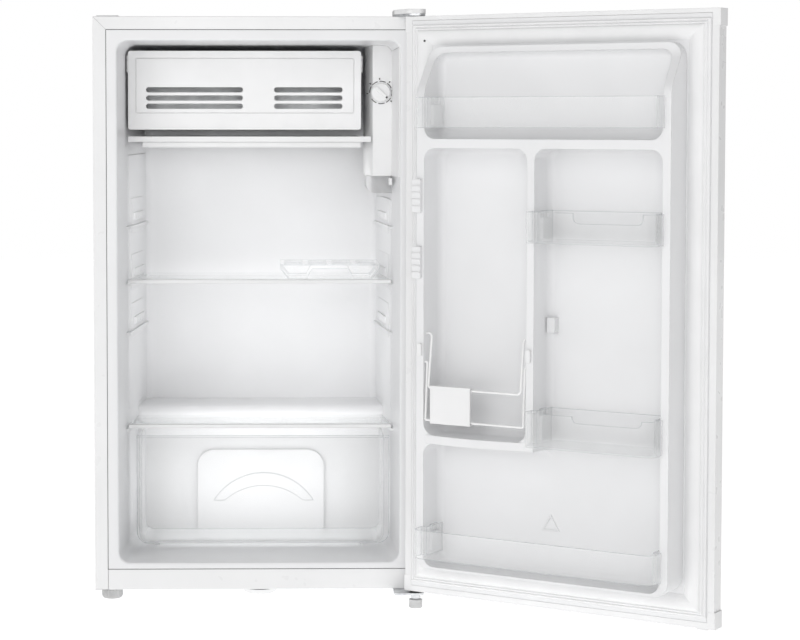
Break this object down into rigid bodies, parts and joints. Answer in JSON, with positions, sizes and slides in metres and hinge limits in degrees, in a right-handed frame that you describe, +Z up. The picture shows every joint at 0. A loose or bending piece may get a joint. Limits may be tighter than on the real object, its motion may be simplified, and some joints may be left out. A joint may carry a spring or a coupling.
{
  "type": "mini fridge",
  "caption": "Under-counter fridge, its door open: ice box with flap, glass shelf, egg tray, crisper drawer, thermostat, clear door racks and a wire bottle holder.",
  "frame": {"origin": "on the floor, under the middle of the cabinet's front sealing face", "axes": "+X to the right seen from the front, +Y into the cabinet, +Z up"},
  "size_m": [0.8578, 0.7111, 0.8595],
  "materials": {
    "white_steel": "gloss",
    "zinc_steel": "satin",
    "black_steel": "satin",
    "screw_steel": "satin",
    "foam": "matte",
    "liner_plastic": "gloss",
    "light_plastic": "satin",
    "grey_plastic": "satin",
    "black_plastic": "matte",
    "bush_plastic": "satin",
    "black_rubber": "matte",
    "seal_rubber": "matte",
    "copper": "satin",
    "aluminium": "satin",
    "diffuser": "satin",
    "bulb_glass": "gloss",
    "white_wire": "gloss",
    "clear_plastic": "gloss",
    "shelf_glass": "gloss"
  },
  "bodies": {
    "cabinet": {"outer_shell": "white_steel", "base_beam": "white_steel", "base_pan": "zinc_steel", "back_panel": "zinc_steel", "compressor_bay_panel": "zinc_steel", "cabinet_foam": "foam", "inner_liner": "liner_plastic", "compressor": "black_steel", "compressor_grommets": "black_rubber", "start_relay": "black_plastic", "filter_drier": "copper", "discharge_tube": "copper", "suction_tube": "copper", "evaporating_tray": "black_plastic", "drain_tube": "grey_plastic", "condenser_coil": "black_steel", "condenser_wires": "black_steel", "cord_gland": "black_plastic", "rear_feet": "grey_plastic", "top_hinge_bracket": "zinc_steel", "top_hinge_cover": "light_plastic", "top_hinge_screws": "screw_steel", "bottom_hinge_plate": "zinc_steel", "bottom_hinge_washers": "black_plastic", "bottom_hinge_screws": "screw_steel", "spare_hinge_plug": "light_plastic", "drain_cup": "light_plastic", "evaporator_box": "aluminium", "flap_pivots": "light_plastic", "thermostat_housing": "light_plastic", "thermostat_body": "black_plastic", "lamp_cover": "diffuser", "lamp_bulb": "bulb_glass"},
    "door": {"door_skin": "white_steel", "door_top_cap": "light_plastic", "door_bottom_cap": "light_plastic", "hinge_bushes": "bush_plastic", "door_liner": "liner_plastic", "door_foam": "foam", "door_gasket": "seal_rubber", "bottle_wires": "white_wire", "wire_clips": "light_plastic"},
    "top_guard_bar": {"top_guard_bar": "clear_plastic"},
    "middle_rack": {"middle_rack": "clear_plastic"},
    "lower_rack": {"lower_rack": "clear_plastic"},
    "bottom_guard_bar": {"bottom_guard_bar": "clear_plastic"},
    "bottle_slider": {"bottle_slider": "light_plastic"},
    "freezer_flap": {"freezer_flap": "light_plastic"},
    "drip_tray": {"drip_tray": "light_plastic"},
    "thermostat_knob": {"thermostat_knob": "light_plastic"},
    "door_switch": {"door_switch": "light_plastic"},
    "upper_shelf": {"upper_shelf_glass": "shelf_glass", "upper_shelf_trim": "light_plastic"},
    "crisper_cover": {"crisper_cover_glass": "shelf_glass", "crisper_cover_trim": "light_plastic"},
    "crisper_drawer": {"crisper_drawer": "clear_plastic"},
    "egg_tray": {"egg_tray": "clear_plastic"},
    "front_left_foot": {"front_left_foot": "grey_plastic"},
    "front_right_foot": {"front_right_foot": "grey_plastic"}
  },
  "joints": [
    {"name": "door_hinge", "type": "hinge", "parent": "cabinet", "child": "door", "pos_m": [0.2255, -0.018, 0.43], "axis": [0, 0, 1], "range_deg": [-147, 8]},
    {"name": "top_guard_bar_lift", "type": "slide", "parent": "door", "child": "top_guard_bar", "axis": [0, 0, 1], "range_m": [0, 0.04]},
    {"name": "middle_rack_lift", "type": "slide", "parent": "door", "child": "middle_rack", "axis": [0, 0, 1], "range_m": [0, 0.05]},
    {"name": "lower_rack_lift", "type": "slide", "parent": "door", "child": "lower_rack", "axis": [0, 0, 1], "range_m": [0, 0.05]},
    {"name": "bottom_guard_bar_lift", "type": "slide", "parent": "door", "child": "bottom_guard_bar", "axis": [0, 0, 1], "range_m": [0, 0.05]},
    {"name": "bottle_slider_slide", "type": "slide", "parent": "door", "child": "bottle_slider", "axis": [0.8387, -0.5446, 0], "range_m": [0, 0.065]},
    {"name": "freezer_flap_hinge", "type": "hinge", "parent": "cabinet", "child": "freezer_flap", "pos_m": [-0.022, 0.086, 0.784], "axis": [-1, 0, 0], "range_deg": [0, 80]},
    {"name": "drip_tray_slide", "type": "slide", "parent": "cabinet", "child": "drip_tray", "axis": [0, -1, 0], "range_m": [0, 0.17]},
    {"name": "thermostat_turn", "type": "hinge", "parent": "cabinet", "child": "thermostat_knob", "pos_m": [0.1785, 0.084, 0.7427], "axis": [0, 1, 0], "range_deg": [-150, 150]},
    {"name": "door_switch_press", "type": "slide", "parent": "cabinet", "child": "door_switch", "axis": [0, 1, 0], "range_m": [0, 0.005], "stiffness_N_per_m": 150, "springref_m": -0.002},
    {"name": "upper_shelf_slide", "type": "slide", "parent": "cabinet", "child": "upper_shelf", "axis": [0, -1, 0], "range_m": [0, 0.15]},
    {"name": "crisper_cover_slide", "type": "slide", "parent": "cabinet", "child": "crisper_cover", "axis": [0, -1, 0], "range_m": [0, 0.1]},
    {"name": "crisper_drawer_slide", "type": "slide", "parent": "cabinet", "child": "crisper_drawer", "axis": [0, -1, 0], "range_m": [0, 0.11]},
    {"name": "egg_tray_lift", "type": "slide", "parent": "upper_shelf", "child": "egg_tray", "axis": [0, 0, 1], "range_m": [0, 0.06]},
    {"name": "front_left_foot_turn", "type": "hinge", "parent": "cabinet", "child": "front_left_foot", "pos_m": [-0.217, 0.057, 0.01], "axis": [0, 0, 1], "continuous": true},
    {"name": "front_right_foot_turn", "type": "hinge", "parent": "cabinet", "child": "front_right_foot", "pos_m": [0.2255, -0.018, 0.01], "axis": [0, 0, 1], "continuous": true}
  ]
}
